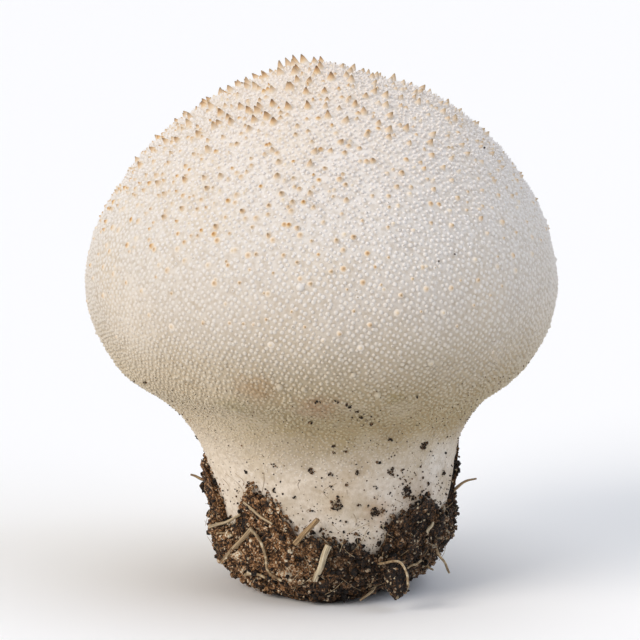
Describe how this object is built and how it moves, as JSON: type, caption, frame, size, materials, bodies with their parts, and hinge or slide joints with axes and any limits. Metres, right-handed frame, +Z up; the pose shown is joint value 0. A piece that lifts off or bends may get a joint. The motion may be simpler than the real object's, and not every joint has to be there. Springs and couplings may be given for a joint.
{
  "type": "puffball mushroom",
  "caption": "Small puffball mushroom with a spiny round head on a short thick stem, standing upright on the soil that clings to its foot.",
  "frame": {"origin": "middle of the flat spot under the soil at the foot, which the mushroom stands on", "axes": "+Z up along the stem, -Y towards the side that the picture shows, +X to its right"},
  "size_m": [0.0502, 0.0503, 0.0567],
  "materials": {
    "puffball": "matte",
    "soil": "matte",
    "straw": "matte",
    "rootlet": "matte"
  },
  "bodies": {
    "root": {"puffball": "puffball", "rootlet_back_curve": "rootlet", "rootlet_back_hanging": "rootlet", "rootlet_left_curve": "rootlet", "rootlet_left_fine": "rootlet", "rootlet_left_low": "rootlet", "rootlet_loop": "rootlet", "rootlet_right_hanging": "rootlet", "rootlet_right_low": "rootlet", "soil_clod": "soil", "soil_crust": "soil", "straw_back_long": "straw", "straw_back_spur": "straw", "straw_front_low": "straw", "straw_left_cross": "straw", "straw_left_long": "straw", "straw_left_spur": "straw", "straw_left_thin": "straw", "straw_middle_brown": "straw", "straw_middle_pale": "straw", "straw_right_chip": "straw", "straw_right_low": "straw", "straw_right_short": "straw", "straw_right_spur": "straw"}
  },
  "joints": []
}
